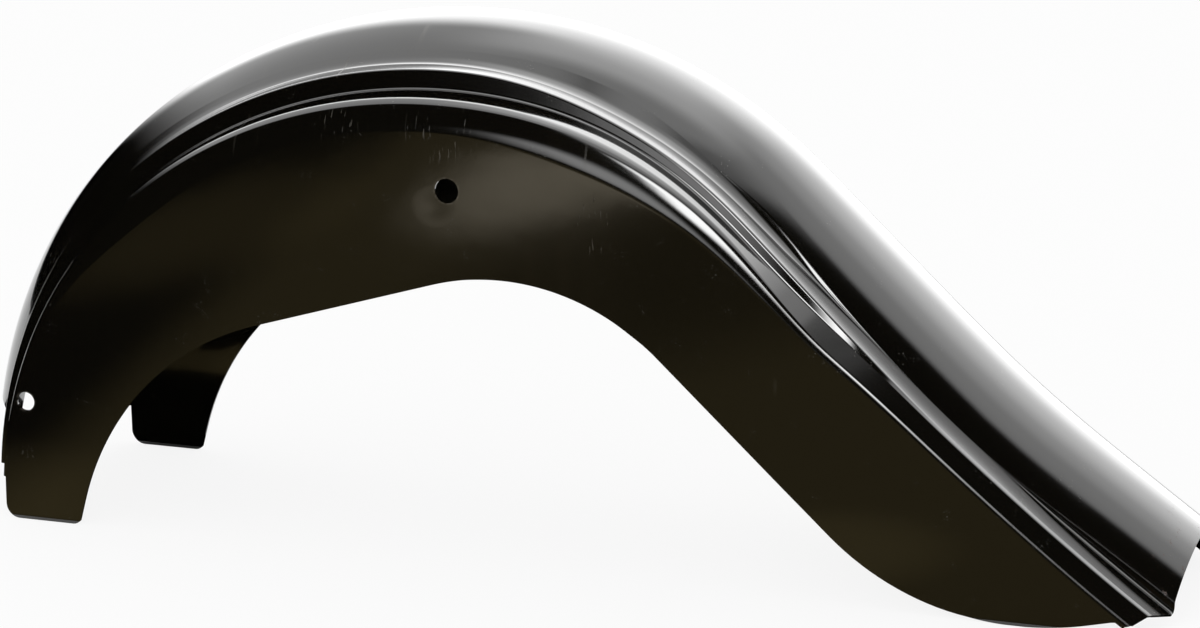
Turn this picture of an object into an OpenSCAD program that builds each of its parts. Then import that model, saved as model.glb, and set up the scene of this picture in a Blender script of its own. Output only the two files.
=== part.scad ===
// Motorcycle rear fender: one pressed steel shell over a 16 inch wheel.
// X runs along the machine with the tail at +X, Z is up, and the feet stand on Z = 0.
// The arch is laid out about the wheel centre, then moved so that its footprint is centred.

/* [Sheet] */
// Thickness of the steel sheet
sheet = 1.6; // [1.2:0.1:2.4]
// Overall width over the skirts
width = 188; // [160:1:226]

/* [Arch] */
// Outside radius of the crown over the top of the wheel
front_radius = 376; // [320:1:450]
// How much tighter the crown turns down the front
nose_tightening = 43; // [10:1:60]
// Angle before the top where that tighter radius begins
nose_start = 35; // [25:1:50]
// How much tighter the crown turns over the rear haunch
rear_tightening = 53; // [30:1:80]
// Angle past the top where the tighter radius begins
rear_start = 6.4; // [2:0.2:12]
// Angle that the tighter radius turns through
rear_sweep = 36.4; // [30:0.2:40]

/* [Tail] */
// Straight run down the back of the wheel
back_run = 146; // [110:1:190]
// Radius of the reverse curve that kicks the tail out
flare_radius = 840; // [600:10:1200]
// Angle that the reverse curve turns through
flare_sweep = 7.6; // [4:0.2:12]
// Straight run from the flare to the tip
tail_run = 77.7; // [50:0.1:110]
// Height of the crown line's end above the feet
tip_height = 45.8; // [40:0.1:80]
// How far the tail's rounded end runs back along the skirts
tail_round = 30; // [15:1:44]

/* [Crown] */
// Drop from the crown's centre to the ridge over the arch
ridge_drop = 28.2; // [22:0.2:32]
// How far the ridge lies in from the side over the arch
ridge_inset = 28; // [22:1:34]
// How far the ridge lies in from the side on the tail
tail_ridge_inset = 12; // [9:1:16]
// Width of the ledge inside the ridge
ledge = 13.7; // [9:0.1:18]
// Steepest slope of the crown's flank over the arch
flank_slope = 46; // [38:1:52]
// Steepest slope of the crown's flank on the tail
tail_flank_slope = 60; // [52:1:68]
// Height of the step below the ridge over the arch
step = 12; // [8:0.5:14]
// Radius of the crown's dome
dome_radius = 68; // [50:1:80]
// How much flatter the dome is on the tail
tail_flattening = 4.2; // [0:0.1:8]
// Radius of the cove at the foot of the flank
cove_radius = 13; // [8:1:16]
// Radius of the shoulder over the arch
shoulder_radius = 22; // [14:1:24]
// Radius of the shoulder on the front legs
leg_shoulder_radius = 5; // [3:0.5:22]
// Radius of the shoulder on the tail
tail_shoulder_radius = 7; // [6:1:10]

/* [Skirt] */
// How far the leg's rear edge lies behind the nose, at the foot
leg_depth = 102.3; // [90:0.1:120]
// Lean of the leg's rear edge from upright
leg_lean = 15.5; // [10:0.5:24]
// Depth of the skirt below the crown over the wheel centre
top_depth = 162; // [150:1:180]
// Climb of the skirt's edge over the front of the wheel
edge_climb = 16.6; // [10:0.2:20]
// Depth of the skirt square to the back run
back_depth = 130; // [115:1:145]
// Length of the tail that lifts clear of the ground
heel_length = 74; // [60:1:90]
// Slope of that lift
heel_lift = 13.5; // [8:0.5:18]
// Radius where the leg runs into the skirt
leg_sweep_radius = 188; // [120:2:240]
// Radius of the skirt's edge over the wheel
edge_peak_radius = 155; // [110:5:220]
// Radius of the tail's round underside
heel_radius = 172; // [120:2:190]

/* [Front end] */
// Height of the flat tabs that the front feet end in
tab_height = 28; // [20:1:45]
// How far the tab's front edge lies behind the nose
tab_setback = 47.7; // [46:0.1:60]
// Radius of the tab's front corner
tab_front_corner = 10; // [4:1:14]
// Radius of the tab's rear corner
tab_rear_corner = 7; // [4:1:10]
// Width of the opening between the front feet
notch_width = 120; // [100:1:130]
// Height of that opening above the ground
notch_height = 64; // [54:1:90]
// Radius of its upper corners
notch_corner = 30; // [15:1:45]

/* [Fixing holes] */
// Diameter of the hole high on each skirt
side_hole_d = 16; // [12:0.5:20]
// How far that hole lies behind the wheel centre
side_hole_back = 13.8; // [-20:0.2:40]
// How far it lies below the top of the crown
side_hole_drop = 99.5; // [90:0.5:115]
// Diameter of the hole in each front leg
leg_hole_d = 12.7; // [8:0.1:16]
// How far that hole lies behind the nose
leg_hole_back = 65.9; // [60:0.1:80]
// Height of that hole above the ground
leg_hole_height = 82; // [65:0.5:100]

/* [Hidden] */

half = width / 2;
nose_radius = front_radius - nose_tightening;
rear_radius = front_radius - rear_tightening;
// How much further the ridge drops over the haunch, and again at the tip
haunch_drop = 3.8;
tip_drop = 4.5;
// The step loses this much over the haunch and dies out on the tail to a faint line
haunch_step_loss = 5;
faint_step = 0.6;
// Run of the step's face over the arch, and how much more it has on the tail
step_run = 1.2;
tail_step_run = 1.2;
// Slopes of the ledge and of the shelf below the step, and what the ledge loses on the tail
ledge_slope = 12;
tail_ledge_easing = 4;
shelf_slope = 10;
ridge_round = 2;
crease_round = 2.6;
// How much wider the ledge, and how much tighter the dome and the cove, are on the tail
tail_ledge_gain = 6.6;
tail_dome_loss = 13;
tail_cove_loss = 4;
// The section starts to change this far along from the top, and has the haunch's form here
change_start = -15;
haunch_full = 170;
// Past the start of the flare it has the tail's form, and the step has faded
tail_full = 45;
fade_full = 55;
// Before the back run's start the step begins to fade and the dome to flatten
fade_lead = 10;
flattening_lead = 80;
// Near the tip the ridge drops once more, from here past the flare to here past the tip
tip_start = 30;
tip_full = 10;
// The skirt is at least this deep below its shoulder
least_skirt = 1;
// The leg's rear edge runs on this far below the ground before the feet are cut
leg_run_on = 60;
// Radius where the tail's underside leaves the ground
lift_radius = 190;
// The tab's rear side leans this much more than the leg, and stands this far behind its edge
tab_extra_lean = 8;
tab_offset = 0.5;
// Angle past the start of the nose over which the shoulder tightens to the leg's
leg_turn = 36;
// Reach of cutting tools past the sheet
past = 20;

// Key places along the crown, measured from the top of the arch
s_nose = -front_radius * nose_start * PI / 180;
s_leg = s_nose - nose_radius * leg_turn * PI / 180;
s_rear = front_radius * rear_start * PI / 180;
s_back = s_rear + rear_radius * rear_sweep * PI / 180;
s_flare = s_back + back_run;
s_tail = s_flare + flare_radius * flare_sweep * PI / 180;
s_tip = s_tail + tail_run;
a_back = rear_start + rear_sweep;
a_tail = a_back - flare_sweep;

// Vectors in the side plane: along the crown toward the tail, and square to it, outward
function along(a) = [cos(a), -sin(a)];
function outward(a) = [sin(a), cos(a)];

// Angle from upright of the crown's outward direction
function lean(s) =
    s < s_nose ? (s - s_nose) / nose_radius * 180 / PI - nose_start
    : s < s_rear ? s / front_radius * 180 / PI
    : s < s_back ? rear_start + (s - s_rear) / rear_radius * 180 / PI
    : s < s_flare ? a_back
    : s < s_tail ? a_back - (s - s_flare) / flare_radius * 180 / PI
    : a_tail;

// Centre line of the crown in the side plane, about the wheel centre
nose_shift = nose_tightening * outward(-nose_start);
arc_shift = rear_tightening * outward(rear_start);
p_back = arc_shift + rear_radius * outward(a_back);
p_flare = p_back + back_run * along(a_back);
p_tail = p_flare + flare_radius * (outward(a_back) - outward(a_tail));
function crown(s) =
    s < s_nose ? nose_shift + nose_radius * outward(lean(s))
    : s < s_rear ? front_radius * outward(lean(s))
    : s < s_back ? arc_shift + rear_radius * outward(lean(s))
    : s < s_flare ? p_back + (s - s_back) * along(a_back)
    : s < s_tail ? p_flare + flare_radius * (outward(a_back) - outward(lean(s)))
    : p_tail + (s - s_tail) * along(a_tail);

tip = crown(s_tip);
ground = tip.y - tip_height;
// The nose is the foremost place that the crown's curve reaches
nose_x = nose_shift.x - nose_radius;

// Smooth rise from 0 to 1 between two places along the crown
function rise(from, to, s) =
    let (t = min(1, max(0, (s - from) / (to - from))))
    t * t * t * (t * (6 * t - 15) + 10);

// The section changes from arch to leg and to tail as these run from 0 to 1
function to_leg(s) = 1 - rise(s_leg, s_nose, s);
function to_haunch(s) = rise(change_start, haunch_full, s);
function to_tail(s) = rise(change_start, s_flare + tail_full, s);
function step_fade(s) = rise(s_back - fade_lead, s_flare + fade_full, s);
function flattening(s) = tail_flattening * rise(s_back - flattening_lead, s_flare, s);
function to_tip(s) = rise(s_flare + tip_start, s_tip + tip_full, s);

// One rounded corner of a section line: points [across, inward, slope]
function bend(corner, from, to, radius, n) =
    let (
        turn = sign(to - from),
        start = corner - radius * tan(abs(to - from) / 2) * [cos(from), sin(from)],
        centre = start + turn * radius * [-sin(from), cos(from)]
    )
    [for (k = [0:n]) let (a = from + (to - from) * k / n)
        [centre.x + turn * radius * sin(a), centre.y - turn * radius * cos(a), a]];

// Half of the section at a place along the crown, from its centre to the foot of the shoulder
function half_section(s) =
    let (
        t = to_tail(s),
        ridge = [half - ridge_inset + (ridge_inset - tail_ridge_inset) * t,
                 ridge_drop + haunch_drop * to_haunch(s) + tip_drop * to_tip(s)],
        fall = step - haunch_step_loss * to_haunch(s)
            - (step - haunch_step_loss - faint_step) * step_fade(s),
        run = step_run + tail_step_run * step_fade(s),
        crease = ridge + [run, fall],
        inner_slope = ledge_slope - tail_ledge_easing * t,
        wall_slope = flank_slope + (tail_flank_slope - flank_slope) * t,
        ledge_w = ledge + tail_ledge_gain * t,
        foot = ridge - ledge_w * [1, tan(inner_slope)],
        top = flattening(s),
        apex = foot.x - (foot.y - top) / tan(wall_slope),
        dome = min(dome_radius - tail_dome_loss * t, 0.97 * apex / tan(wall_slope / 2)),
        cove = cove_radius - tail_cove_loss * t,
        corner = [half, crease.y + (half - crease.x) * tan(shelf_slope)],
        round_r = shoulder_radius + (tail_shoulder_radius - shoulder_radius) * t
            + (leg_shoulder_radius - shoulder_radius) * to_leg(s),
        shoulder = min(round_r, 0.9 * (half - crease.x - 1) / tan((90 - shelf_slope) / 2)),
        drop_slope = atan2(fall, run)
    )
    concat(
        [[0, top, 0]],
        bend([apex, top], 0, wall_slope, dome, 6),
        bend(foot, wall_slope, inner_slope, cove, 3),
        bend(ridge, inner_slope, drop_slope, ridge_round, 2),
        bend(crease, drop_slope, shelf_slope, crease_round, 2),
        bend(corner, shelf_slope, 90, shoulder, 5)
    );

// Where two lines meet, each given by a point and a direction in the side plane
function meet(p, d, q, e) = p + d * cross(q - p, e) / cross(d, e);

// Lines that the skirt's lower edge follows: leg, front climb, back, ground and heel
leg_foot = [nose_x + leg_depth, ground];
leg_dir = [sin(leg_lean), cos(leg_lean)];
climb_point = [0, front_radius - top_depth];
climb_dir = [cos(edge_climb), sin(edge_climb)];
back_point = p_back - back_depth * outward(a_back);
heel_point = [tip.x - heel_length, ground];
heel_dir = [cos(heel_lift), sin(heel_lift)];
corners = [
    leg_foot - leg_run_on * leg_dir,
    meet(leg_foot, leg_dir, climb_point, climb_dir),
    meet(climb_point, climb_dir, back_point, along(a_back)),
    meet(back_point, along(a_back), heel_point, [1, 0]),
    heel_point,
    heel_point + 2 * heel_length * heel_dir
];
corner_radii = [0, leg_sweep_radius, edge_peak_radius, heel_radius, lift_radius, 0];

function heading(d) = atan2(d.y, d.x);
function turn_at(i) = heading(corners[i + 1] - corners[i]) - heading(corners[i] - corners[i - 1]);
function tangent_at(i) = i < 1 || i > 4 ? 0 : corner_radii[i] * tan(abs(turn_at(i)) / 2);
// A round edge is limited by the straight stretches beside it
edge_share = min([for (i = [0:4])
    norm(corners[i + 1] - corners[i]) / max(1, 1.01 * (tangent_at(i) + tangent_at(i + 1)))]);
edge_scale = min(1, edge_share);

function edge_bend(i, n) =
    let (
        a = heading(corners[i] - corners[i - 1]),
        b = heading(corners[i + 1] - corners[i]),
        r = corner_radii[i] * edge_scale,
        way = sign(b - a),
        start = corners[i] - r * tan(abs(b - a) / 2) * [cos(a), sin(a)],
        centre = start + way * r * [-sin(a), cos(a)]
    )
    [for (k = [0:n]) let (h = a + (b - a) * k / n) centre + way * r * [sin(h), -cos(h)]];
skirt_edge = concat([corners[0]], [for (i = [1:4]) each edge_bend(i, 14)], [corners[5]]);

// Depth of the skirt below the crown: the inward line meets the edge line
function edge_depth(s) =
    let (
        p = crown(s),
        d = -outward(lean(s)),
        hits = [for (i = [0:len(skirt_edge) - 2])
            let (
                q = skirt_edge[i],
                e = skirt_edge[i + 1] - q,
                w = cross(d, e),
                t = cross(q - p, e) / w,
                f = cross(q - p, d) / w
            )
            if (t > 0 && f > -1e-6 && f < 1 + 1e-6) t]
    )
    min(hits);

// Rows of the shell: the last ones fan out from the tail's start to its rounded end
nose_dip = acos((ground - nose_shift.y) / nose_radius) + 3;
s_first = s_nose - nose_radius * (nose_dip - nose_start) * PI / 180;
s_fan = s_tail;
arch_rows = 25;
haunch_rows = 10;
back_rows = 4;
flare_rows = 6;
tip_rows = 8;
rows = concat(
    [for (k = [0:arch_rows - 1]) s_first + (s_rear - s_first) * k / arch_rows],
    [for (k = [0:haunch_rows - 1]) s_rear + (s_back - s_rear) * k / haunch_rows],
    [for (k = [0:back_rows - 1]) s_back + (s_flare - s_back) * k / back_rows],
    [for (k = [0:flare_rows - 1]) s_flare + (s_fan - s_flare) * k / flare_rows],
    [for (k = [0:tip_rows - 1]) s_fan + (s_tip - s_fan) * k / (tip_rows - 1)]
);
skirt_steps = 3;

// The tail's end is half an ellipse in plan: how far it falls short of the tip
function tail_short(across) = tail_round * (1 - sqrt(max(0, 1 - pow(across / half, 2))));

// Place of the tail's end for a line across and inward of the crown
function s_end(across, inward) =
    s_tip + (inward * sin(a_tail) - tail_short(across)) / cos(a_tail);

// Depth of the skirt at the tail's corner, where the rounded end meets the heel
heel_end = heel_point + (heel_length - tail_round) / cos(heel_lift) * heel_dir;
tip_line = half_section(s_tip);
tip_foot = tip_line[len(tip_line) - 1].y;
end_depth = max((tip - heel_end) * outward(a_tail), tip_foot + least_skirt);

function fan(row, across, inward) =
    row <= s_fan ? row
    : s_fan + (s_end(across, inward) - s_fan) * (row - s_fan) / (s_tip - s_fan);

// One row of the shell, from the right edge over the crown to the left edge
function row_points(s, inset) =
    let (
        line = half_section(s),
        foot = line[len(line) - 1],
        deep = edge_depth(fan(s, half, end_depth)),
        skirt = [for (k = [1:skirt_steps])
            [half, foot.y + (max(deep, foot.y + least_skirt) - foot.y) * k / skirt_steps, 90]],
        tip_skirt = [for (k = [1:skirt_steps])
            [half, tip_foot + (end_depth - tip_foot) * k / skirt_steps, 90]],
        whole = concat(line, skirt),
        whole_tip = concat(tip_line, tip_skirt),
        n = len(whole) - 1
    )
    [for (j = [-n:n])
        let (
            k = abs(j),
            side = j < 0 ? -1 : 1,
            u = whole[k].x - inset * sin(whole[k][2]),
            v = whole[k].y + inset * cos(whole[k][2]),
            at = fan(s, whole_tip[k].x, whole_tip[k].y),
            p = crown(at) - v * outward(lean(at))
        )
        [p.x, side * u, p.y]];

outer = [for (s = rows) row_points(s, 0)];
inner = [for (s = rows) row_points(s, sheet)];
n_rows = len(outer);
n_cols = len(outer[0]);

function outer_id(i, j) = i * n_cols + j;
function inner_id(i, j) = (n_rows + i) * n_cols + j;

shell_points = concat([for (row = outer) each row], [for (row = inner) each row]);
shell_faces = concat(
    [for (i = [0:n_rows - 2], j = [0:n_cols - 2]) each [
        [outer_id(i, j), outer_id(i, j + 1), outer_id(i + 1, j + 1)],
        [outer_id(i, j), outer_id(i + 1, j + 1), outer_id(i + 1, j)],
        [inner_id(i, j), inner_id(i + 1, j + 1), inner_id(i, j + 1)],
        [inner_id(i, j), inner_id(i + 1, j), inner_id(i + 1, j + 1)]
    ]],
    [for (i = [0:n_rows - 2], j = [0, n_cols - 1])
        let (flip = j == 0,
             a = outer_id(i, j), b = outer_id(i + 1, j), c = inner_id(i + 1, j), d = inner_id(i, j))
        each flip ? [[a, b, c], [a, c, d]] : [[a, c, b], [a, d, c]]],
    [for (i = [0, n_rows - 1], j = [0:n_cols - 2])
        let (flip = i == 0,
             a = outer_id(i, j), b = outer_id(i, j + 1), c = inner_id(i, j + 1), d = inner_id(i, j))
        each flip ? [[a, c, b], [a, d, c]] : [[a, b, c], [a, c, d]]]
);

// Pressed skin before anything is cut from it
module pressing() {
    polyhedron(points = shell_points, faces = shell_faces, convexity = 8);
}

// Side view of a flat tab: its rear side leans out a little past the leg's own edge
tab_x = nose_x + tab_setback;
tab_top = ground + tab_height;
tab_lean = leg_lean + tab_extra_lean;
rear_x = leg_foot.x + tab_offset + tab_rear_corner * (tan(leg_lean) - 1 / cos(leg_lean));
rear_turn = [rear_x, ground + tab_rear_corner] + tab_rear_corner * [cos(tab_lean), -sin(tab_lean)];
module tab_side() {
    translate([tab_x + tab_front_corner, ground + tab_front_corner]) circle(tab_front_corner, $fn = 48);
    translate([rear_x, ground + tab_rear_corner]) circle(tab_rear_corner, $fn = 48);
    polygon([
        [tab_x + tab_front_corner, ground],
        [rear_x, ground],
        rear_turn,
        [rear_turn.x + (tab_top + 1 - rear_turn.y) * tan(tab_lean), tab_top + 1],
        [tab_x, tab_top + 1],
        [tab_x, ground + tab_front_corner]
    ]);
}

// Everything around the tabs below their top
module foot_waste() {
    depth = 2 * half + 2 * past;
    translate([0, depth / 2, 0]) rotate([90, 0, 0]) linear_extrude(depth) difference() {
        translate([nose_x - past, ground - 3 * past])
            square([leg_depth + 2 * past, 3 * past + tab_height]);
        tab_side();
    }
}

// Opening between the front feet, seen along the machine
module notch() {
    reach = leg_depth + past;
    w = notch_width / 2 - notch_corner;
    translate([nose_x - past, 0, ground]) rotate([90, 0, 90]) linear_extrude(reach) union() {
        translate([-notch_width / 2, -3 * past]) square([notch_width, notch_height - notch_corner + 3 * past]);
        translate([-w, 0]) square([2 * w, notch_height]);
        for (side = [-1, 1]) translate([side * w, notch_height - notch_corner]) circle(notch_corner, $fn = 64);
    }
}

// A pair of holes straight across both skirts
module skirt_holes(x, z, d) {
    for (side = [-1, 1])
        translate([x, side * half, z]) rotate([90, 0, 0]) cylinder(h = 2 * past, d = d, center = true, $fn = 64);
}

// The crown's front edge at the top of the opening, and the limits used to centre the part
front_x = nose_shift.x - sqrt(pow(nose_radius, 2) - pow(ground + notch_height - nose_shift.y, 2));
centre_x = (front_x + tip.x) / 2;

module fender_shell() {
    color([0.07, 0.065, 0.055])
    translate([-centre_x, 0, -ground]) difference() {
        pressing();
        foot_waste();
        notch();
        skirt_holes(side_hole_back, front_radius - side_hole_drop, side_hole_d);
        skirt_holes(nose_x + leg_hole_back, ground + leg_hole_height, leg_hole_d);
    }
}

fender_shell();
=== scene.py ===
from math import acos, atan2, cos, degrees, hypot, pi, radians, sin, sqrt, tan

import bpy
from mathutils import Matrix, Vector


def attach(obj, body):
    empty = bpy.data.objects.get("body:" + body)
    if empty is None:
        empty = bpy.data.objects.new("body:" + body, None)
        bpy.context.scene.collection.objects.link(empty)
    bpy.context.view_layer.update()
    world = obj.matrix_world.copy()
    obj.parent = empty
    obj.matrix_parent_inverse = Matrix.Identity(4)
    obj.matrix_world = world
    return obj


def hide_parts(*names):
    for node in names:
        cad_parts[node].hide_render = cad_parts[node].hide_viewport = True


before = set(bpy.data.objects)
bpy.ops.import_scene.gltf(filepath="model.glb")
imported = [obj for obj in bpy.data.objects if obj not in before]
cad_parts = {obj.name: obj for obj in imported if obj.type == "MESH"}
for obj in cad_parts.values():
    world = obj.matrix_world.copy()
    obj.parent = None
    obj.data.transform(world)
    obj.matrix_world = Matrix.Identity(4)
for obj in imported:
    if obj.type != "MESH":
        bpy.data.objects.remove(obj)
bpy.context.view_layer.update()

scene = bpy.context.scene
MM = 0.001

# The press form: the side view of the crown, and the cross section at each place along it.
# It is drawn in millimetres about the wheel's centre, as a die maker's drawing would be,
# and everything else on the fender is measured from it.
SHEET = 1.6
HALF = 94.0
TOP_RADIUS, NOSE_RADIUS, HAUNCH_RADIUS = 376.0, 333.0, 323.0
NOSE_START, HAUNCH_START, HAUNCH_SWEEP = 35.0, 6.4, 36.4
BACK_RUN, FLARE_RADIUS, FLARE_SWEEP, TAIL_RUN = 146.0, 840.0, 7.6, 77.7
TIP_HEIGHT, TAIL_ROUND = 45.8, 30.0
CHAMFER = 66.0      # the shoulder turns quickly to this slope and slowly on to the upright skirt
WAIST_RADIUS, RIDGE_RADIUS, CREASE_RADIUS = 8.0, 2.0, 2.6
MOST = 0.97         # a bend uses up no more than this share of the flat beside it


def outward(angle):
    return Vector((sin(radians(angle)), cos(radians(angle))))


def along(angle):
    return Vector((cos(radians(angle)), -sin(radians(angle))))


BACK_LEAN = HAUNCH_START + HAUNCH_SWEEP
TAIL_LEAN = BACK_LEAN - FLARE_SWEEP
S_NOSE = -TOP_RADIUS * radians(NOSE_START)
S_LEG = S_NOSE - NOSE_RADIUS * radians(36)
S_HAUNCH = TOP_RADIUS * radians(HAUNCH_START)
S_BACK = S_HAUNCH + HAUNCH_RADIUS * radians(HAUNCH_SWEEP)
S_FLARE = S_BACK + BACK_RUN
S_TAIL = S_FLARE + FLARE_RADIUS * radians(FLARE_SWEEP)
S_TIP = S_TAIL + TAIL_RUN
nose_centre = (TOP_RADIUS - NOSE_RADIUS) * outward(-NOSE_START)
haunch_centre = (TOP_RADIUS - HAUNCH_RADIUS) * outward(HAUNCH_START)
back_start = haunch_centre + HAUNCH_RADIUS * outward(BACK_LEAN)
flare_start = back_start + BACK_RUN * along(BACK_LEAN)
tail_start = flare_start + FLARE_RADIUS * (outward(BACK_LEAN) - outward(TAIL_LEAN))


def lean(s):
    if s < S_NOSE:
        return degrees((s - S_NOSE) / NOSE_RADIUS) - NOSE_START
    if s < S_HAUNCH:
        return degrees(s / TOP_RADIUS)
    if s < S_BACK:
        return HAUNCH_START + degrees((s - S_HAUNCH) / HAUNCH_RADIUS)
    if s < S_FLARE:
        return BACK_LEAN
    if s < S_TAIL:
        return BACK_LEAN - degrees((s - S_FLARE) / FLARE_RADIUS)
    return TAIL_LEAN


def crown(s):
    if s < S_NOSE:
        return nose_centre + NOSE_RADIUS * outward(lean(s))
    if s < S_HAUNCH:
        return TOP_RADIUS * outward(lean(s))
    if s < S_BACK:
        return haunch_centre + HAUNCH_RADIUS * outward(lean(s))
    if s < S_FLARE:
        return back_start + (s - S_BACK) * along(BACK_LEAN)
    if s < S_TAIL:
        return flare_start + FLARE_RADIUS * (outward(BACK_LEAN) - outward(lean(s)))
    return tail_start + (s - S_TAIL) * along(TAIL_LEAN)


TIP = crown(S_TIP)
GROUND = TIP.y - TIP_HEIGHT
NOSE_X = nose_centre.x - NOSE_RADIUS
NOTCH_TOP = GROUND + 64.0
front_x = nose_centre.x - sqrt(NOSE_RADIUS ** 2 - (NOTCH_TOP - nose_centre.y) ** 2)
CENTRE_X = (front_x + TIP.x) / 2


def placed(x, y, z):
    """A point of the drawing, in metres, in the fender's own frame on its feet."""
    return Vector(((x - CENTRE_X) * MM, y * MM, (z - GROUND) * MM))


def rise(start, end, s):
    t = min(1.0, max(0.0, (s - start) / (end - start)))
    return t ** 3 * (t * (6 * t - 15) + 10)


def bend(corner, slope_in, slope_out, radius, steps):
    """A rounded corner of the section: points with their surface slope."""
    a, b = radians(slope_in), radians(slope_out)
    turn = 1 if b > a else -1
    reach = radius * tan(abs(b - a) / 2)
    cx = corner[0] - reach * cos(a) - turn * radius * sin(a)
    cy = corner[1] - reach * sin(a) + turn * radius * cos(a)
    slopes = [a + (b - a) * k / steps for k in range(steps + 1)]
    return [(cx + turn * radius * sin(q), cy - turn * radius * cos(q), q) for q in slopes]


def half_section(s):
    """Crown, cove, ledge, ridge, step, shelf and shoulder, from the middle outwards."""
    t = rise(-15, S_FLARE + 45, s)                      # from the arch to the tail
    haunch = rise(-15, 170, s)
    fade = rise(S_BACK - 10, S_FLARE + 55, s)           # the step fades out
    leg = 1 - rise(S_LEG, S_NOSE, s)
    dip = rise(S_BACK - 20, S_BACK + 110, s)            # flank and shelf grow steeper
    slack = rise(S_BACK - 70, S_BACK + 40, s)           # the dome flattens
    top = 1.3 * rise(S_BACK - 80, S_FLARE, s)

    ledge_slope, flank_slope, shelf_slope = 9 - 8 * t, 46 + 14 * t, 10 + 35 * dip
    fall, run, ledge = 12 - 5 * haunch - 6.4 * fade, 1.2 + 1.2 * fade, 13.7 + 6.6 * t
    ridge = (HALF - 28 + 16 * t, 28.2 + 3.8 * haunch + 4.5 * rise(S_FLARE + 30, S_TIP + 10, s))
    crease = (ridge[0] + run, ridge[1] + fall)
    drop_slope = degrees(atan2(fall, run))

    # The dome, and the flank that falls from it in two slopes to the cove and the ledge.
    foot = (ridge[0] - ledge, ridge[1] - ledge * tan(radians(ledge_slope)))
    apex = foot[0] - (foot[1] - top) / tan(radians(flank_slope))
    dome = MOST * apex / tan(radians(flank_slope / 2))
    upper_flank, lower_flank = radians(flank_slope - 8 * slack), radians(flank_slope + 1 + 19 * dip)
    apex += dome * (tan(upper_flank / 2) - tan(radians(flank_slope / 2)))
    waist_reach = tan((lower_flank - upper_flank) / 2)
    run_down = dome * tan(upper_flank / 2) + WAIST_RADIUS * waist_reach + 0.3
    waist = (apex + run_down * cos(upper_flank), top + run_down * sin(upper_flank))
    ledge_fall = tan(radians(ledge_slope))
    gap = ridge[1] - (ridge[0] - waist[0]) * ledge_fall - waist[1]
    across = gap / (tan(lower_flank) - ledge_fall)
    foot = (waist[0] + across, waist[1] + across * tan(lower_flank))
    flank = across / cos(lower_flank)
    waist_radius = min(WAIST_RADIUS, 0.45 * flank / waist_reach)
    cove_reach = tan((lower_flank - radians(ledge_slope)) / 2)
    cove = min(13 - 4 * t - 6 * dip, MOST * (flank - waist_radius * waist_reach) / cove_reach)

    # The shoulder: a quick bend at the brow, a chamfer, and a slow bend at the knee.
    corner = (HALF, crease[1] + (HALF - crease[0]) * tan(radians(shelf_slope)))
    shoulder = min(22 - 15 * t - 17 * leg, 0.9 * (HALF - crease[0] - 1) / tan(radians(40)))
    brow_reach = tan(radians((CHAMFER - shelf_slope) / 2))
    start = shoulder * (tan(radians((90 - shelf_slope) / 2)) - brow_reach)
    brow = (corner[0] - start * cos(radians(shelf_slope)), corner[1] - start * sin(radians(shelf_slope)))
    knee = (HALF, brow[1] + (HALF - brow[0]) * tan(radians(CHAMFER)))
    chamfer = hypot(knee[0] - brow[0], knee[1] - brow[1])
    brow_radius = min(0.45 * shoulder, 0.6 * chamfer / brow_reach)
    knee_radius = min((0.9 + 1.2 * haunch * (1 - fade)) * shoulder,
                      MOST * (chamfer - brow_radius * brow_reach) / tan(radians(45 - CHAMFER / 2)))
    return ([(0.0, top, 0.0)]
            + bend((apex, top), 0, degrees(upper_flank), dome, 16)
            + bend(waist, degrees(upper_flank), degrees(lower_flank), waist_radius, 4)
            + bend(foot, degrees(lower_flank), ledge_slope, cove, 7)
            + bend(ridge, ledge_slope, drop_slope, RIDGE_RADIUS, 4)
            + bend(crease, drop_slope, shelf_slope, CREASE_RADIUS, 4)
            + bend(brow, shelf_slope, CHAMFER, brow_radius, 6)
            + bend(knee, CHAMFER, 90, knee_radius, 8))


# The skirts' lower edge: one smooth line from the front leg up over the wheel, down the back
# and round the tail's underside. The sheet is sheared to this line before it is pressed.
LEG_LEAN, LEG_DEPTH = 15.5, 102.3
leg_foot = Vector((NOSE_X + LEG_DEPTH, GROUND))
heel_length, heel_lift = 74.0, 13.5
heel = Vector((TIP.x - heel_length, GROUND))


def meet(p, d, q, e):
    return p + d * ((q - p).cross(e) / d.cross(e))


def heading(angle):
    return Vector((cos(radians(angle)), sin(radians(angle))))


leg_way = Vector((sin(radians(LEG_LEAN)), cos(radians(LEG_LEAN))))
climb_start, climb_way = Vector((0, TOP_RADIUS - 162)), heading(16.6)
back_edge = back_start - 130 * outward(BACK_LEAN)
edge_corners = [
    leg_foot - 60 * leg_way,
    meet(leg_foot, leg_way, climb_start, climb_way),
    meet(climb_start, climb_way, back_edge, along(BACK_LEAN)),
    meet(back_edge, along(BACK_LEAN), heel, Vector((1, 0))),
    heel,
    heel + 2 * heel_length * heading(heel_lift),
]
edge_radii = [0, 188, 155, 172, 190, 0]
turns = [0.0] * 6
for i in range(1, 5):
    before, after = edge_corners[i] - edge_corners[i - 1], edge_corners[i + 1] - edge_corners[i]
    turns[i] = atan2(after.y, after.x) - atan2(before.y, before.x)
reach = [r * tan(abs(q) / 2) for r, q in zip(edge_radii, turns)]
room = min((edge_corners[i + 1] - edge_corners[i]).length / max(1, 1.01 * (reach[i] + reach[i + 1]))
           for i in range(5))
skirt_edge = [edge_corners[0]]
for i in range(1, 5):
    before = edge_corners[i] - edge_corners[i - 1]
    slope_in = degrees(atan2(before.y, before.x))
    skirt_edge += [Vector(p[:2]) for p in bend(edge_corners[i], slope_in, slope_in + degrees(turns[i]),
                                               edge_radii[i] * min(1, room), 40)]
skirt_edge.append(edge_corners[5])


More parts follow.
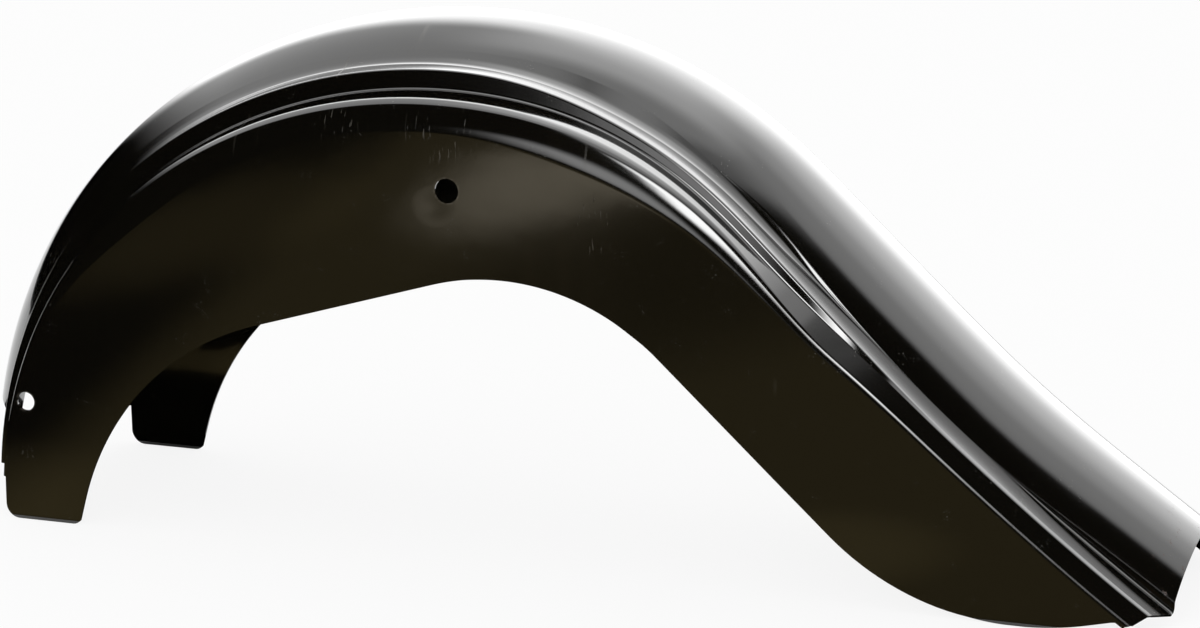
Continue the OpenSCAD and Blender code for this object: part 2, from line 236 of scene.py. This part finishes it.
def edge_depth(s):
    p, d = crown(s), -outward(lean(s))
    hits = []
    for q, r in zip(skirt_edge, skirt_edge[1:]):
        e = r - q
        w = d.cross(e)
        if abs(w) > 1e-9:
            t, f = (q - p).cross(e) / w, (q - p).cross(d) / w
            if t > 0 and -1e-6 < f < 1 + 1e-6:
                hits.append(t)
    return min(hits)


# The shell itself: one blank of 1.6 mm steel, pressed over the form, trimmed and pierced.
# The blank is a flat grid whose points carry their place along the crown, across and inward,
# and the press is a node tree that bends it over the crown line.
SKIRT_STEPS = 12
BROKEN_EDGE = 0.4
tip_section = half_section(S_TIP)
tip_foot = tip_section[-1][1]
heel_end = heel + (heel_length - TAIL_ROUND) / cos(radians(heel_lift)) * heading(heel_lift)
end_depth = max((TIP - heel_end).dot(outward(TAIL_LEAN)), tip_foot + 1)


def skirted(section, depth):
    foot = section[-1][1]
    depth = max(depth, foot + 1)
    return section + [(HALF, foot + (depth - foot) * k / SKIRT_STEPS, pi / 2)
                      for k in range(1, SKIRT_STEPS + 1)]


def end_place(across, inward):
    short = TAIL_ROUND * (1 - sqrt(max(0, 1 - (across / HALF) ** 2)))
    return S_TIP + (inward * sin(radians(TAIL_LEAN)) - short) / cos(radians(TAIL_LEAN))


nose_dip = degrees(acos((GROUND - nose_centre.y) / NOSE_RADIUS)) + 3
s_first = S_NOSE - NOSE_RADIUS * radians(nose_dip - NOSE_START)
ROWS, TAIL_ROWS = 190, 36
rows = ([s_first + (S_TAIL - s_first) * k / ROWS for k in range(ROWS)]
        + [S_TAIL + (S_TIP - S_TAIL) * k / TAIL_ROWS for k in range(TAIL_ROWS + 1)])
ends = [end_place(across, inward) for across, inward, slope in skirted(tip_section, end_depth)]

places, acrosses, inwards = [], [], []
for inset in (0.0, SHEET):
    for s in rows:
        share = max(0.0, (s - S_TAIL) / (S_TIP - S_TAIL))
        fanned = [min(s, S_TAIL) + (end - S_TAIL) * share for end in ends]
        half = skirted(half_section(s), edge_depth(fanned[-1]))
        last = len(half) - 1
        for j in range(-last, last + 1):
            across, inward, slope = half[abs(j)]
            places.append(fanned[abs(j)] - s_first)
            acrosses.append((across - inset * sin(slope)) * (-1 if j < 0 else 1))
            inwards.append(inward + inset * cos(slope))
columns = 2 * last + 1
under = len(rows) * columns


def top_point(i, j):
    return i * columns + j


squares = []
for i in range(len(rows) - 1):
    for j in range(columns - 1):
        square = (top_point(i, j), top_point(i + 1, j), top_point(i + 1, j + 1), top_point(i, j + 1))
        squares += [square, tuple(under + n for n in reversed(square))]
    for j, flip in ((0, False), (columns - 1, True)):
        a, b = top_point(i, j), top_point(i + 1, j)
        rim = (a, under + a, under + b, b)
        squares.append(tuple(reversed(rim)) if flip else rim)
for j in range(columns - 1):
    for i, flip in ((0, True), (len(rows) - 1, False)):
        a, b = top_point(i, j), top_point(i, j + 1)
        rim = (a, under + a, under + b, b)
        squares.append(tuple(reversed(rim)) if flip else rim)

blank = bpy.data.meshes.new("blank")
blank.from_pydata([(s * MM, u * MM, -v * MM) for s, u, v in zip(places, acrosses, inwards)], [], squares)
blank.polygons.foreach_set("use_smooth", [True] * len(blank.polygons))
for name, values in (("place", places), ("across", acrosses), ("inward", inwards)):
    blank.attributes.new(name, "FLOAT", "POINT").data.foreach_set("value", [v * MM for v in values])

crown_line = bpy.data.curves.new("crown_line", "CURVE")
crown_line.dimensions = "3D"
LINE_STEPS = 1400
line_length = S_TIP + 40 - s_first
spline = crown_line.splines.new("POLY")
spline.points.add(LINE_STEPS)
EASE = 24                       # each change of radius is eased in over this much of the line
stride = line_length / LINE_STEPS
trace = [crown(s_first)]
for k in range(LINE_STEPS):
    middle = s_first + (k + 0.5) * stride
    eased = sum(lean(middle + EASE * e / 6) for e in range(-6, 7)) / 13
    trace.append(trace[-1] + stride * along(eased))
drift = crown(s_first + line_length) - trace[-1]
for k, p in enumerate(trace):
    p = p + drift * (k / LINE_STEPS)
    spline.points[k].co = (*placed(p.x, 0, p.y), 1)
crown_line_object = bpy.data.objects.new("crown_line", crown_line)
scene.collection.objects.link(crown_line_object)

press = bpy.data.node_groups.new("press_over_crown", "GeometryNodeTree")
press.interface.new_socket("Blank", in_out="INPUT", socket_type="NodeSocketGeometry")
press.interface.new_socket("Crown Line", in_out="INPUT", socket_type="NodeSocketObject")
press.interface.new_socket("Pressing", in_out="OUTPUT", socket_type="NodeSocketGeometry")
nodes, links = press.nodes, press.links
entry, leave = nodes.new("NodeGroupInput"), nodes.new("NodeGroupOutput")
line = nodes.new("GeometryNodeObjectInfo")
line.transform_space = "RELATIVE"
links.new(entry.outputs["Crown Line"], line.inputs["Object"])
carried = {}
for name in ("place", "across", "inward"):
    carried[name] = nodes.new("GeometryNodeInputNamedAttribute")
    carried[name].data_type = "FLOAT"
    carried[name].inputs["Name"].default_value = name
at = nodes.new("GeometryNodeSampleCurve")
at.mode = "LENGTH"
at.use_all_curves = True
links.new(line.outputs["Geometry"], at.inputs["Curves"])
links.new(carried["place"].outputs["Attribute"], at.inputs["Length"])
square = nodes.new("ShaderNodeVectorMath")          # inward is square to the crown line
square.operation = "CROSS_PRODUCT"
square.inputs[1].default_value = (0, -1, 0)
links.new(at.outputs["Tangent"], square.inputs[0])
unit = nodes.new("ShaderNodeVectorMath")
unit.operation = "NORMALIZE"
links.new(square.outputs[0], unit.inputs[0])
sink = nodes.new("ShaderNodeVectorMath")
sink.operation = "SCALE"
links.new(unit.outputs[0], sink.inputs[0])
links.new(carried["inward"].outputs["Attribute"], sink.inputs["Scale"])
aside = nodes.new("ShaderNodeCombineXYZ")
links.new(carried["across"].outputs["Attribute"], aside.inputs["Y"])
lowered = nodes.new("ShaderNodeVectorMath")
links.new(at.outputs["Position"], lowered.inputs[0])
links.new(sink.outputs[0], lowered.inputs[1])
spread = nodes.new("ShaderNodeVectorMath")
links.new(lowered.outputs[0], spread.inputs[0])
links.new(aside.outputs[0], spread.inputs[1])
formed = nodes.new("GeometryNodeSetPosition")
links.new(entry.outputs["Blank"], formed.inputs["Geometry"])
links.new(spread.outputs[0], formed.inputs["Position"])
solid_copy = nodes.new("GeometryNodeRealizeInstances")
links.new(formed.outputs[0], solid_copy.inputs[0])
coated = nodes.new("GeometryNodeSetMaterial")
links.new(solid_copy.outputs[0], coated.inputs["Geometry"])
links.new(coated.outputs[0], leave.inputs["Pressing"])

black_coat = bpy.data.materials.new("gloss_black_coat")
coated.inputs["Material"].default_value = black_coat


def prism(name, outline, axis, low, high):
    """A trimming die: an outline in the drawing, run through the part along X or Y."""
    def point(p, depth):
        return placed(p[0], depth, p[1]) if axis == "Y" else placed(depth, p[0], p[1])
    n = len(outline)
    mesh = bpy.data.meshes.new(name)
    mesh.from_pydata([point(p, low) for p in outline] + [point(p, high) for p in outline], [],
                     [list(range(n)), list(range(2 * n - 1, n - 1, -1))]
                     + [(i, n + i, n + (i + 1) % n, (i + 1) % n) for i in range(n)])
    mesh.polygons.foreach_set("use_smooth", [True] * len(mesh.polygons))
    mesh.update()
    die = bpy.data.objects.new(name, mesh)
    scene.collection.objects.link(die)
    bpy.context.view_layer.objects.active = die
    bpy.ops.object.select_all(action="DESELECT")
    die.select_set(True)
    bpy.ops.object.mode_set(mode="EDIT")
    bpy.ops.mesh.select_all(action="SELECT")
    bpy.ops.mesh.normals_make_consistent(inside=False)
    bpy.ops.object.mode_set(mode="OBJECT")
    return die


def circle_points(cx, cz, r, start, end, steps):
    return [(cx + r * cos(radians(start + (end - start) * k / steps)),
             cz + r * sin(radians(start + (end - start) * k / steps))) for k in range(steps + 1)]


TAB_X, TAB_TOP = NOSE_X + 47.7, GROUND + 28.0
FRONT_ROUND, REAR_ROUND, TAB_LEAN = 10.0, 7.0, LEG_LEAN + 8
rear_x = leg_foot.x + 0.5 + REAR_ROUND * (tan(radians(LEG_LEAN)) - 1 / cos(radians(LEG_LEAN)))
rear_turn = circle_points(rear_x, GROUND + REAR_ROUND, REAR_ROUND, -90, -TAB_LEAN, 12)
side_top = rear_turn[-1][0] + (TAB_TOP - rear_turn[-1][1]) * tan(radians(TAB_LEAN))
PAST = 20.0         # the dies reach this far past the sheet
foot_outline = ([(NOSE_X - PAST, TAB_TOP), (TAB_X, TAB_TOP)]
                + circle_points(TAB_X + FRONT_ROUND, GROUND + FRONT_ROUND, FRONT_ROUND, 180, 270, 14)
                + rear_turn
                + [(side_top, TAB_TOP), (NOSE_X + LEG_DEPTH + PAST, TAB_TOP),
                   (NOSE_X + LEG_DEPTH + PAST, GROUND - 60), (NOSE_X - PAST, GROUND - 60)])
NOTCH_HALF, NOTCH_ROUND = 60.0, 30.0
round_x, round_z = NOTCH_HALF - NOTCH_ROUND, NOTCH_TOP - NOTCH_ROUND
notch_outline = ([(-NOTCH_HALF, GROUND - 60), (NOTCH_HALF, GROUND - 60)]
                 + circle_points(round_x, round_z, NOTCH_ROUND, 0, 90, 24)
                 + circle_points(-round_x, round_z, NOTCH_ROUND, 90, 180, 24))
side_hole = (13.8, TOP_RADIUS - 99.5, 8.0)
leg_hole = (NOSE_X + 65.9, GROUND + 82.0, 6.35)
dies = [prism("foot_die", foot_outline, "Y", -HALF - PAST, HALF + PAST),
        prism("notch_die", notch_outline, "X", NOSE_X - PAST, NOSE_X + LEG_DEPTH)]
PUNCH_SIDES = 72
for name, (hx, hz, hr) in (("side_punch", side_hole), ("leg_punch", leg_hole)):
    ring = circle_points(hx, hz, hr, 0, 360 - 360 / PUNCH_SIDES, PUNCH_SIDES - 1)
    dies.append(prism(name, ring, "Y", -HALF - PAST, HALF + PAST))

shell = bpy.data.objects.new("fender_skin", blank)
scene.collection.objects.link(shell)
pressing = shell.modifiers.new("press", "NODES")
pressing.node_group = press
line_socket = next(item.identifier for item in press.interface.items_tree if item.name == "Crown Line")
pressing[line_socket] = crown_line_object
for die in dies:
    cut = shell.modifiers.new(die.name, "BOOLEAN")
    cut.operation, cut.solver, cut.object = "DIFFERENCE", "MANIFOLD", die
edges = shell.modifiers.new("broken_edges", "BEVEL")
edges.width, edges.segments = BROKEN_EDGE * MM, 2
edges.limit_method, edges.angle_limit = "ANGLE", radians(50)
edges.use_clamp_overlap = True
even = shell.modifiers.new("even_shading", "WEIGHTED_NORMAL")
even.weight, even.keep_sharp = 50, True

depsgraph = bpy.context.evaluated_depsgraph_get()
finished = bpy.data.meshes.new_from_object(shell.evaluated_get(depsgraph), depsgraph=depsgraph)
finished.name = "fender_skin"
finished.materials.clear()
finished.materials.append(black_coat)
shell.modifiers.clear()
shell.data = finished
for polygon in finished.polygons:
    polygon.use_smooth = True
for spare in dies + [crown_line_object]:
    bpy.data.objects.remove(spare)
for name in ("place", "across", "inward"):
    if name in finished.attributes:
        finished.attributes.remove(finished.attributes[name])


# The finish: black lacquer over bare pressed steel, stoved, then handled and stored. Its clear
# top is smooth but not flat, it carries fine hair scratches, rubs and specks of dust, the hole
# rims show paler primer, and a little rust has started at the tail.
def node(tree, kind, inputs=(), **settings):
    made = tree.nodes.new(kind)
    for key, value in settings.items():
        setattr(made, key, value)
    for slot, value in enumerate(inputs):
        if value is None:
            continue
        if isinstance(value, bpy.types.NodeSocket):
            tree.links.new(value, made.inputs[slot])
        else:
            made.inputs[slot].default_value = value
    return made


def calc(tree, operation, *values):
    return node(tree, "ShaderNodeMath", values, operation=operation).outputs[0]


def ramp(tree, value, low, high, from_value=0.0, to_value=1.0):
    return node(tree, "ShaderNodeMapRange", (value, low, high, from_value, to_value),
                interpolation_type="SMOOTHSTEP").outputs[0]


def tinted(tree, amount, under, over):
    made = node(tree, "ShaderNodeMix", data_type="RGBA")
    for name, value in (("Factor_Float", amount), ("A_Color", under), ("B_Color", over)):
        socket = next(i for i in made.inputs if i.identifier == name)
        if isinstance(value, bpy.types.NodeSocket):
            tree.links.new(value, socket)
        else:
            socket.default_value = value
    return next(o for o in made.outputs if o.identifier == "Result_Color")


black_coat.use_nodes = True
tree = black_coat.node_tree
coat = tree.nodes["Principled BSDF"]
place = node(tree, "ShaderNodeTexCoord").outputs["Object"]
at_x, at_y, at_z = node(tree, "ShaderNodeSeparateXYZ", (place,)).outputs


def noise(scale, detail=2.0, roughness=0.5, where=place):
    return node(tree, "ShaderNodeTexNoise", (where, None, scale, detail, roughness)).outputs["Fac"]


def stretched(x, y, z, turn=(0, 0, 0)):
    """The object's own coordinates, turned and squeezed so that a pattern runs one way."""
    return node(tree, "ShaderNodeMapping", (place, (0, 0, 0), turn, (x, y, z))).outputs[0]


def spot(point, size_x, size_z, soft=0.5):
    """A soft round mark on the near skirt, about a place given in the fender's own frame."""
    dx = calc(tree, "DIVIDE", calc(tree, "SUBTRACT", at_x, point[0]), size_x)
    dz = calc(tree, "DIVIDE", calc(tree, "SUBTRACT", at_z, point[1]), size_z)
    away = calc(tree, "ADD", calc(tree, "MULTIPLY", dx, dx), calc(tree, "MULTIPLY", dz, dz))
    return ramp(tree, calc(tree, "SQRT", away), 1.0, 1.0 - soft)


near_side = ramp(tree, at_y, -0.086, -0.091)

# Hair scratches: long thin streaks in two directions, broken up by a slow noise.
scratched = None
for turn, scale, gate_low in ((0.55, 260.0, 0.60), (-0.9, 210.0, 0.63), (1.45, 300.0, 0.62)):
    threads = noise(scale, 1.0, 0.4, stretched(1.0, 0.05, 0.045, (0, turn, 0)))
    gate = ramp(tree, noise(9.0 + 2 * turn, 3.0, 0.6), gate_low, gate_low + 0.08)
    line_mask = calc(tree, "MULTIPLY", ramp(tree, threads, 0.70, 0.74), gate)
    scratched = line_mask if scratched is None else calc(tree, "MAXIMUM", scratched, line_mask)

# Rubs: short dense scratches in three worn places round the side hole of the near skirt.
worn_patch = spot((-0.055, 0.285), 0.030, 0.024)
for point, size_x, size_z in (((-0.128, 0.285), 0.022, 0.012), ((0.045, 0.232), 0.020, 0.022)):
    worn_patch = calc(tree, "MAXIMUM", worn_patch, spot(point, size_x, size_z))
rub_threads = noise(900.0, 1.0, 0.4, stretched(1.0, 0.05, 0.10, (0, 0.62, 0)))
rubs = calc(tree, "MULTIPLY", ramp(tree, rub_threads, 0.66, 0.73), worn_patch)
rubs = calc(tree, "MULTIPLY", rubs, near_side)
scratched = calc(tree, "MAXIMUM", calc(tree, "MULTIPLY", scratched, 0.5), rubs)

# Dust: fine pale specks, gathered in patches by a slow noise.
specks = node(tree, "ShaderNodeTexVoronoi", (place, None, 620.0)).outputs["Distance"]
speck_gate = ramp(tree, noise(55.0, 2.0, 0.6), 0.60, 0.72)
dust = calc(tree, "MULTIPLY", ramp(tree, specks, 0.16, 0.09), speck_gate)

# Painted reflection: brownish bands painted down the middle of the near skirt.
reflection_bands = noise(16.0, 4.0, 0.62, stretched(1.0, 0.25, 0.12))
reflection_band_zone = ramp(tree, calc(tree, "ABSOLUTE", calc(tree, "ADD", at_x, 0.01)), 0.09, 0.02)
reflection_streaks = calc(tree, "MULTIPLY", ramp(tree, reflection_bands, 0.45, 0.75), reflection_band_zone)
reflection_streaks = calc(tree, "MULTIPLY", reflection_streaks, near_side)

# Rust and grit at the tail's corner, and worn primer on the rims of the four holes.
tail_zone = ramp(tree, at_x, 0.385, 0.412)
rust = calc(tree, "MULTIPLY", ramp(tree, noise(240.0, 4.0, 0.7), 0.60, 0.70), tail_zone)
side_place, leg_place = (placed(hx, 0, hz).xz for hx, hz, hr in (side_hole, leg_hole))
side_rim = spot(side_place, 0.0098, 0.0098, 0.22)
leg_rim = spot(leg_place, 0.0079, 0.0079, 0.2)
rim_wear = calc(tree, "MULTIPLY", calc(tree, "MAXIMUM", side_rim, leg_rim),
                ramp(tree, noise(330.0, 2.0), 0.38, 0.6))

# The base black is mixed towards brown by the painted reflection streaks.
colour = tinted(tree, reflection_streaks, (0.0034, 0.0029, 0.0018, 1), (0.0085, 0.0068, 0.0040, 1))
colour = tinted(tree, calc(tree, "MULTIPLY", scratched, 0.6), colour, (0.070, 0.061, 0.046, 1))
colour = tinted(tree, calc(tree, "MULTIPLY", rim_wear, 0.45), colour, (0.10, 0.09, 0.075, 1))
colour = tinted(tree, calc(tree, "MULTIPLY", rust, 0.8), colour, (0.060, 0.022, 0.008, 1))
colour = tinted(tree, calc(tree, "MULTIPLY", dust, 0.7), colour, (0.26, 0.25, 0.23, 1))
tree.links.new(colour, coat.inputs["Base Color"])

# The lacquer's skin: a slow unevenness, orange peel, and the dull of rubs, dust and rust.
covered = calc(tree, "MAXIMUM", rust, dust)
dull = calc(tree, "MULTIPLY", calc(tree, "MAXIMUM", scratched, covered), 0.35)
dull = calc(tree, "ADD", calc(tree, "MULTIPLY", noise(28.0, 5.0, 0.65), 0.05), dull)
tree.links.new(calc(tree, "ADD", dull, 0.075), coat.inputs["Roughness"])
clear = calc(tree, "SUBTRACT", 1.0, calc(tree, "MULTIPLY", covered, 0.8))
tree.links.new(clear, coat.inputs["Coat Weight"])
coat.inputs["IOR"].default_value = 1.8
coat.inputs["Coat Roughness"].default_value = 0.035
coat.inputs["Coat IOR"].default_value = 1.6
dent = calc(tree, "MULTIPLY", spot((-0.060, 0.236), 0.016, 0.014, 1.0), near_side)
height = calc(tree, "ADD", calc(tree, "MULTIPLY", noise(22.0, 2.0, 0.5), 0.10),
              calc(tree, "MULTIPLY", noise(380.0, 1.0, 0.5), 0.0032))
height = calc(tree, "ADD", height, calc(tree, "MULTIPLY", dust, 0.05))
height = calc(tree, "SUBTRACT", height, calc(tree, "MULTIPLY", scratched, 0.02))
height = calc(tree, "SUBTRACT", height, calc(tree, "MULTIPLY", dent, 0.14))
bump = node(tree, "ShaderNodeBump")
bump.inputs["Strength"].default_value = 1.0
bump.inputs["Distance"].default_value = 0.0009
tree.links.new(height, bump.inputs["Height"])
tree.links.new(bump.outputs[0], coat.inputs["Normal"])
tree.links.new(bump.outputs[0], coat.inputs["Coat Normal"])

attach(shell, "root")
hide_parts("fender_shell")


# The stage: a white table in a light tent. The tent is lit from behind and above, its camera
# side is black cloth, and only the gloss sees it, so that plain soft light falls on the fender.
def stage_piece(name, points, faces, seen):
    mesh = bpy.data.meshes.new(name)
    mesh.from_pydata(points, [], faces)
    piece = bpy.data.objects.new(name, mesh)
    scene.collection.objects.link(piece)
    material = bpy.data.materials.new(name)
    material.use_nodes = True
    mesh.materials.append(material)
    if not seen:
        piece.visible_camera = piece.visible_diffuse = piece.visible_shadow = False
    return material.node_tree


def sheet_points(x0, x1, y0, y1, z):
    return [(x0, y0, z), (x1, y0, z), (x1, y1, z), (x0, y1, z)]


tree = stage_piece("table", sheet_points(-4.2, 4.2, -4.2, 4.2, 0), [(0, 1, 2, 3)], True)
surface, output = tree.nodes["Principled BSDF"], tree.nodes["Material Output"]
surface.inputs["Base Color"].default_value = (0.86, 0.86, 0.86, 1)
surface.inputs["Roughness"].default_value = 0.9
surface.inputs["Specular IOR Level"].default_value = 0.0
glow = node(tree, "ShaderNodeEmission")
ray = node(tree, "ShaderNodeLightPath")
share = calc(tree, "MULTIPLY", ray.outputs["Is Camera Ray"], 0.88)      # mostly plain white to the eye
blend = node(tree, "ShaderNodeMixShader", (share, surface.outputs[0], glow.outputs[0]))
tree.links.new(blend.outputs[0], output.inputs["Surface"])

tree = stage_piece("front_cloth", sheet_points(-4.2, 4.2, -4.2, 0.11, 0.002), [(0, 1, 2, 3)], False)
tree.nodes.remove(tree.nodes["Principled BSDF"])
place = node(tree, "ShaderNodeTexCoord").outputs["Object"]
x, y, z = node(tree, "ShaderNodeSeparateXYZ", (place,)).outputs


def pool(cx, cy, size_x, size_y):
    """A soft pool of light on the cloth."""
    dx = calc(tree, "DIVIDE", calc(tree, "SUBTRACT", x, cx), size_x)
    dy = calc(tree, "DIVIDE", calc(tree, "SUBTRACT", y, cy), size_y)
    away = calc(tree, "ADD", calc(tree, "MULTIPLY", dx, dx), calc(tree, "MULTIPLY", dy, dy))
    return ramp(tree, away, 1.0, 0.0)


slant = calc(tree, "MULTIPLY", calc(tree, "ADD", y, 0.2), -0.19)
dark_left = ramp(tree, calc(tree, "ADD", x, slant), -0.45, -0.37)
even = calc(tree, "SUBTRACT", 1.0, calc(tree, "MULTIPLY", pool(-0.17, -0.95, 0.24, 0.55), 0.6))
even = calc(tree, "MULTIPLY", calc(tree, "MULTIPLY", even, dark_left), ramp(tree, y, -2.6, -1.5))
for cx, cy, size_x, size_y, power in ((-0.62, -0.92, 0.13, 0.34, 0.75), (-0.43, -0.08, 0.22, 0.20, 0.8),
                                      (0.17, -0.2, 0.10, 0.10, 0.7)):
    even = calc(tree, "ADD", even, calc(tree, "MULTIPLY", pool(cx, cy, size_x, size_y), power))
even = calc(tree, "MULTIPLY", even, ramp(tree, y, -0.085, -0.10))
glow = node(tree, "ShaderNodeEmission", ((0.088, 0.069, 0.030, 1), even))
gleam = node(tree, "ShaderNodeEmission", ((0.50, 0.45, 0.36, 1), pool(-0.40, -1.24, 0.13, 0.36)))
both = node(tree, "ShaderNodeAddShader", (glow.outputs[0], gleam.outputs[0]))
tree.links.new(both.outputs[0], tree.nodes["Material Output"].inputs["Surface"])

TENT, SEGMENTS, RINGS = 4.0, 64, 24
points, faces = [], []
for r in range(RINGS + 1):
    rise_angle = radians(-6 + 95.9 * r / RINGS)
    points += [(TENT * cos(rise_angle) * cos(2 * pi * k / SEGMENTS),
                TENT * cos(rise_angle) * sin(2 * pi * k / SEGMENTS), TENT * sin(rise_angle))
               for k in range(SEGMENTS)]
faces = [(r * SEGMENTS + k, r * SEGMENTS + (k + 1) % SEGMENTS,
          (r + 1) * SEGMENTS + (k + 1) % SEGMENTS, (r + 1) * SEGMENTS + k)
         for r in range(RINGS) for k in range(SEGMENTS)]
tree = stage_piece("light_tent", points, faces, False)
tree.nodes.remove(tree.nodes["Principled BSDF"])
place = node(tree, "ShaderNodeTexCoord")
way = node(tree, "ShaderNodeVectorMath", (place.outputs["Object"],), operation="NORMALIZE")
way = node(tree, "ShaderNodeSeparateXYZ", (way.outputs[0],))
x, y, z = way.outputs
# The back is lit most, the top next, and both fade out differently to the left and the right.
behind_left = ramp(tree, calc(tree, "ADD", y, calc(tree, "MULTIPLY", x, 0.35)), 0.2, 0.5)
behind_right = ramp(tree, y, 0.05, 0.65)
sideways = ramp(tree, x, -0.25, 0.1)
behind = calc(tree, "ADD", calc(tree, "MULTIPLY", behind_right, sideways),
              calc(tree, "MULTIPLY", behind_left, calc(tree, "SUBTRACT", 1.0, sideways)))
top = calc(tree, "MULTIPLY", ramp(tree, z, 0.84, 0.97), ramp(tree, y, -0.3, 0.05))
top = calc(tree, "MULTIPLY", top, ramp(tree, x, -0.5, -0.05))
top = calc(tree, "MULTIPLY", calc(tree, "SUBTRACT", 1.0, behind), top)
cover = calc(tree, "ADD", calc(tree, "MULTIPLY", behind, 2.15), 1.05)
cover = calc(tree, "ADD", cover, calc(tree, "MULTIPLY", top, 0.95))

# Black cloth hangs in front below the hem and low on the left, and three sides are toned down.
hem = ramp(tree, calc(tree, "ADD", z, calc(tree, "MULTIPLY", y, 1.15)), 0.42, 0.58)
over = calc(tree, "MULTIPLY", ramp(tree, z, 0.73, 0.80), ramp(tree, x, -0.1, 0.1))
front = calc(tree, "MAXIMUM", hem, over)
low = calc(tree, "MULTIPLY", calc(tree, "ADD", x, 0.7), 1.5)
low = ramp(tree, calc(tree, "ADD", z, low), 0.05, 0.45)
right = calc(tree, "MULTIPLY", ramp(tree, x, 0.2, 0.5), ramp(tree, y, 0.15, 0.4))
right = calc(tree, "SUBTRACT", 1.0, calc(tree, "MULTIPLY", right, 0.3))
shade = calc(tree, "MAXIMUM", ramp(tree, y, -0.6, 0.02, 0.42, 1.0), ramp(tree, z, 0.78, 0.9))
shade = calc(tree, "MAXIMUM", shade, ramp(tree, x, 0.0, -0.3))
strength = cover
for share in (front, low, right, shade):
    strength = calc(tree, "MULTIPLY", strength, share)


def patch(cx, cz, size_x, size_z, hard, power):
    """A lamp's soft patch on the camera side of the tent."""
    dx = ramp(tree, calc(tree, "ABSOLUTE", calc(tree, "SUBTRACT", x, cx)), size_x, size_x * hard)
    dz = ramp(tree, calc(tree, "ABSOLUTE", calc(tree, "SUBTRACT", z, cz)), size_z, size_z * hard)
    here = calc(tree, "MULTIPLY", calc(tree, "MULTIPLY", dx, dz), ramp(tree, y, -0.2, -0.4))
    return calc(tree, "MULTIPLY", here, power)


strength = calc(tree, "MAXIMUM", strength, patch(0.19, 0.52, 0.20, 0.26, 0.4, 7.5))
strength = calc(tree, "MAXIMUM", strength, patch(-0.19, 0.14, 0.17, 0.25, 0.2, 1.3))
glow = node(tree, "ShaderNodeEmission", (None, strength))
tree.links.new(glow.outputs[0], tree.nodes["Material Output"].inputs["Surface"])

world = bpy.data.worlds.new("studio")
scene.world = world
world.use_nodes = True
tree = world.node_tree
plain = tree.nodes["Background"]
plain.inputs["Color"].default_value = (0.95, 0.95, 0.95, 1)
white = node(tree, "ShaderNodeBackground", ((1, 1, 1, 1), 1.0))
ray = node(tree, "ShaderNodeLightPath")
seen = calc(tree, "MAXIMUM", ray.outputs["Is Camera Ray"], ray.outputs["Is Glossy Ray"])
seen = calc(tree, "MAXIMUM", seen, ray.outputs["Is Transmission Ray"])
either = node(tree, "ShaderNodeMixShader", (seen, plain.outputs[0], white.outputs[0]))
tree.links.new(either.outputs[0], tree.nodes["World Output"].inputs["Surface"])


def softbox(name, place, aim, size_x, size_y, radiance):
    lamp = bpy.data.lights.new(name, "AREA")
    lamp.shape, lamp.size, lamp.size_y = "RECTANGLE", size_x, size_y
    lamp.energy = pi * size_x * size_y * radiance
    box = bpy.data.objects.new(name, lamp)
    box.location = place
    box.rotation_euler = (Vector(aim) - Vector(place)).to_track_quat("-Z", "Y").to_euler()
    box.visible_camera = box.visible_glossy = False
    scene.collection.objects.link(box)


softbox("front_softbox", (0.33, -1.78, 1.16), (0.15, 0.0, 0.25), 1.0, 0.6, 2.0)

# The camera, at the photograph's own angle and distance.
CAMERA_PLACE = Vector((926.977, -2291.907, 805.969))
RIGHT = Vector((0.93881, 0.344356, -0.0073367))
UP = Vector((-0.0788927, 0.2357200, 0.9686135))
BACK = Vector((0.3352777, -0.9087655, 0.2484636))
camera_data = bpy.data.cameras.new("camera")
SENSOR, FOCAL_PIXELS, FRAME_PIXELS = 36.0, 3874, 1200
camera_data.sensor_width = SENSOR
camera_data.lens = FOCAL_PIXELS / FRAME_PIXELS * SENSOR
camera_data.clip_end = 50
camera = bpy.data.objects.new("camera", camera_data)
turned = Matrix((RIGHT, UP, BACK)).transposed().to_4x4()
camera.matrix_world = Matrix.Translation(placed(*CAMERA_PLACE)) @ turned
scene.collection.objects.link(camera)
scene.camera = camera
scene.view_settings.view_transform = "Standard"
